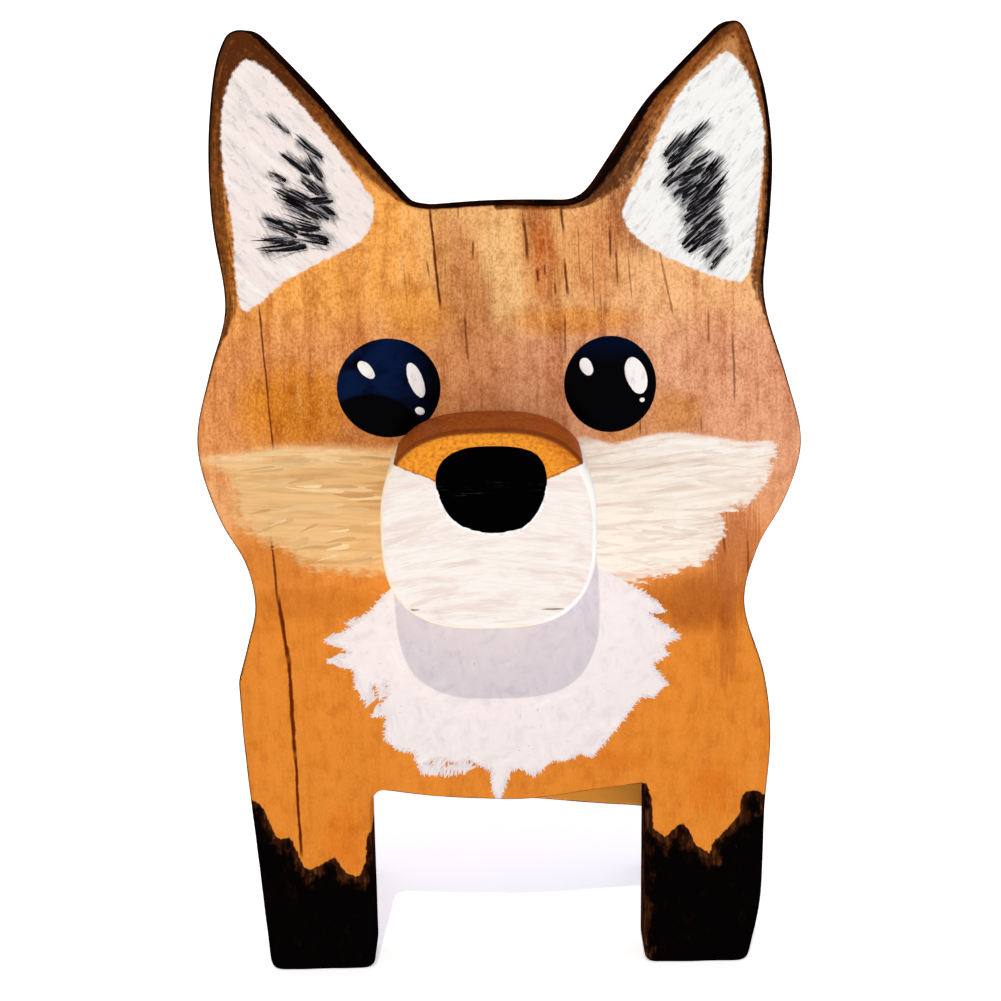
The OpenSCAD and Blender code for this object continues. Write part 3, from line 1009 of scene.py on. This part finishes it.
def ear_strokes():
    """Black and grey dry-brush streaks in the white of both ears, which taper outwards."""
    strokes = Strokes(BOARD_FRONT, seed=11)
    draw = strokes.draw
    ink, soot = srgb(3, 3, 4), srgb(34, 34, 38)
    grey, mist = srgb(84, 82, 88), srgb(176, 172, 178)
    for x, z, angle, length, width in EAR_MARKS_LEFT + EAR_MARKS_RIGHT:
        angle = angle + 180 if x < 0 else angle
        run = heading(angle)
        side = np.array([-run[1], run[0]])
        bolds = round(3 + 5 * width)
        for k in range(bolds + 7):
            bold = k < bolds
            spread = width * (0.75 if bold else 1.6)
            long = length * draw.uniform(0.55, 1.2)
            start = np.array([x, z]) - run * length * 0.5
            start = start + side * draw.uniform(-spread, spread)
            start = start + run * draw.uniform(-0.1, 0.3) * length
            tint = tinted(draw, ink, soot) if bold else tinted(draw, grey, mist)
            thick = draw.uniform(0.4, 0.95) * min(1.0, 0.45 + width) if bold else 0.2
            strokes.add(start, angle + draw.gauss(0, 5), long, thick, tint,
                        bend=draw.gauss(0, 10), lift=0.05, blunt=0.3, fine=0.9)
    return strokes.finish("ear_streaks", stroke_material("ear_streak_paint"))


def chest_strokes():
    """Short dabs of white that feather the edge of the chest's paint."""
    strokes = Strokes(BOARD_FRONT, seed=23)
    draw = strokes.draw
    edge = resample(CHEST, 0.35)
    for place, normal in zip(edge, outward(edge)):
        if place[1] > 64:
            continue
        radial = place - np.array([0, 58])
        aim = normal + 1.2 * radial / np.linalg.norm(radial)
        angle = math.degrees(math.atan2(aim[1], aim[0])) + draw.gauss(0, 10)
        length = draw.uniform(1.9, 2.8)
        start = place - heading(angle) * (length - draw.uniform(0, 0.5))
        strokes.add(start, angle, length, draw.uniform(0.5, 0.9),
                    tinted(draw, CHEST_WHITE, CHEST_SHADE), bend=draw.gauss(0, 16),
                    lift=0.12, blunt=0.5, fine=0.6)
    return strokes.finish("chest_hairs", stroke_material("chest_hair_paint"))


def cheek_strokes():
    """Streaks dragged sideways over the cheeks, that rise a little from the muzzle."""
    strokes = Strokes(BOARD_FRONT, seed=31)
    draw = strokes.draw
    board = resample(face_outline("front_board"), 1.5)
    looks = (
        (CHEEK_LEFT, -1, CREAM_PALE, CREAM_DEEP),
        (CHEEK_RIGHT, 1, CHEEK_WHITE, CHEEK_STREAK),
    )
    for outline, side, pale, deep in looks:
        for _ in range(110):
            place = np.array([draw.uniform(13, 42) * side, draw.uniform(65, 87)])
            if inside_distance(place[None], outline)[0] < 0.8:
                continue
            fall = (86 - place[1]) / 20
            slope = 10 - 26 * fall if abs(place[0]) < 28 else -4 - 24 * fall
            if place[1] > 85:
                slope = 3 if abs(place[0]) < 26 else -3
            angle = slope + draw.gauss(0, 3)
            angle = angle if side > 0 else 180 - angle
            length = draw.uniform(3, 8)
            tip = place + heading(angle) * length
            if inside_distance(tip[None], outline)[0] < 0.2:
                continue
            if inside_distance(tip[None], board)[0] < 1:
                continue
            strokes.add(place, angle, length, draw.uniform(0.5, 1.2),
                        tinted(draw, pale, deep), bend=draw.gauss(0, 8), lift=0.02)
    return strokes.finish("cheek_streaks", stroke_material("cheek_paint"))


# ---------------- pieces

def make_boards():
    sawn_board("fox_front", "front_board", front_board_material(), paint_front,
               arris=0.7, step=0.6, cells=(0.6, 1.5), seed=3)
    sawn_board("fox_hind", "hind_board", hind_board_material(), paint_hind,
               arris=0.7, step=0.8, cells=(1.5, 0.8), seed=4)
    sawn_board("fox_body", "body_block", body_block_material(), paint_plain,
               arris=0.6, step=1.0, cells=(2.0, 2.0), seed=5)
    sawn_board("fox_muzzle", "muzzle_block", muzzle_material(), paint_plain,
               arris=1.0, step=0.5, cells=(0.8, 1.5), seed=6)


def make_chest():
    outline = resample(CHEST, 0.3)
    puddle("chest_fur", outline, fur_material(), BOARD_FRONT, FUR_THICK, soften=1.2, seed=9)


def make_eyes():
    enamel = eye_material()
    dot = white_dot_material()
    for name, outline in (("eye_left", EYE_LEFT), ("eye_right", EYE_RIGHT)):
        puddle(name, outline, enamel, BOARD_FRONT, EYE_THICK, soften=3.5)
    dots = {
        "glint_left_small": ((-20.2, 99.0), (1.75, 1.0), -48),
        "glint_left_big": ((-12.7, 97.3), (2.95, 1.2), -71),
        "glint_left_dot": ((-12.2, 92.5), (0.8, 0.6), -25),
        "glint_right_small": ((13.7, 98.8), (1.5, 1.0), -66),
        "glint_right_big": ((21.2, 97.3), (3.0, 1.7), -73),
        "glint_right_dot": ((22.2, 93.5), (0.4, 0.35), 0),
    }
    for name, (centre, half_axes, tilt) in dots.items():
        puddle(name, ellipse(centre, half_axes, tilt, 28), dot, BOARD_FRONT - 0.3, GLINT_THICK,
               soften=0.6, cell=0.35 * half_axes[1])


def make_nose():
    """The nose, over a white pool that shows as a thin rim round its lower half."""
    outline = resample(NOSE, 0.4)
    puddle("nose", outline, nose_material(), MUZZLE_FRONT, NOSE_THICK, soften=0.9, cell=0.6)
    push = np.interp(outline[:, 1], [83.2, 85], [0.34, -0.5])
    puddle("nose_rim", outline + outward(outline) * push[:, None], white_dot_material(),
           MUZZLE_FRONT, RIM_THICK, soften=0.1, cell=0.3)


def dress_dowels():
    wood = dowel_material()
    for name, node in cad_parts.items():
        if "dowel" in name:
            node.data.materials.clear()
            node.data.materials.append(wood)


# ---------------- studio

def make_camera():
    """The camera looks down a little at the face from close by, and leans very slightly."""
    aim_height = 78
    target = Vector((0, BOARD_FRONT, aim_height)) * MM
    distance, pitch, lean = 0.330, math.radians(12), math.radians(1.2)
    camera = bpy.data.cameras.new("camera")
    camera.sensor_width = 36
    camera.lens = 76
    holder = new_object("camera", camera)
    back = Vector((0, -math.cos(pitch), math.sin(pitch)))
    right = Vector((1, 0, 0))
    up = back.cross(right)
    leaning_right = right * math.cos(lean) - up * math.sin(lean)
    leaning_up = right * math.sin(lean) + up * math.cos(lean)
    turn = Matrix((leaning_right, leaning_up, back)).transposed().to_4x4()
    holder.matrix_world = Matrix.Translation(target + back * distance) @ turn
    camera.clip_start = 0.01
    bpy.context.scene.camera = holder


def make_studio():
    """A softly lit white sweep that curves up behind the stand, an even sky and a key light."""
    shader = Shader("studio_white")
    grain = shader.noise((0.02, 0.02, 0.02))
    colour = shader.mix(grain, srgb(250, 250, 250), srgb(246, 246, 246))
    shader.finish(colour, 0.9)
    shader.surface.inputs["Emission Color"].default_value = (0.92, 0.91, 1, 1)
    shader.surface.inputs["Emission Strength"].default_value = 0.6
    near, bend, radius, high, half_wide, steps = -3.0, 1.2, 1.0, 4.0, 4.0, 16
    profile = [(near, 0.0)]
    for k in range(steps + 1):
        angle = math.radians(90 * k / steps)
        profile.append((bend + radius * math.sin(angle), radius - radius * math.cos(angle)))
    profile.append((bend + radius, high))
    points = [(x, y, z) for y, z in profile for x in (-half_wide, half_wide)]
    faces = [(2 * k, 2 * k + 1, 2 * k + 3, 2 * k + 2) for k in range(len(profile) - 1)]
    mesh = bpy.data.meshes.new("sweep")
    mesh.from_pydata(points, [], faces)
    mesh.materials.append(shader.material)
    mesh.shade_smooth()
    new_object("sweep", mesh)

    world = bpy.data.worlds.new("sky")
    world.use_nodes = True
    sky = world.node_tree.nodes["Background"]
    sky.inputs[0].default_value = (0.8, 0.79, 1.0, 1.0)
    sky.inputs[1].default_value = 0.37
    bpy.context.scene.world = world

    key = bpy.data.lights.new("key", "SUN")
    key.energy = 1.28
    key.angle = math.radians(0.8)
    key.color = (1.0, 0.98, 0.7)
    lamp = new_object("key", key)
    fall, aside = math.radians(43.5), math.radians(2.5)
    towards = Vector((math.sin(aside), math.cos(aside) * math.cos(fall), -math.sin(fall)))
    lamp.rotation_mode = "QUATERNION"
    lamp.rotation_quaternion = towards.to_track_quat("-Z", "Y")

    bpy.context.scene.view_settings.view_transform = "Standard"
    bpy.context.scene.view_settings.look = "None"


make_camera()
make_studio()
make_boards()
make_chest()
make_eyes()
make_nose()
ear_strokes()
cheek_strokes()
chest_strokes()
dress_dowels()
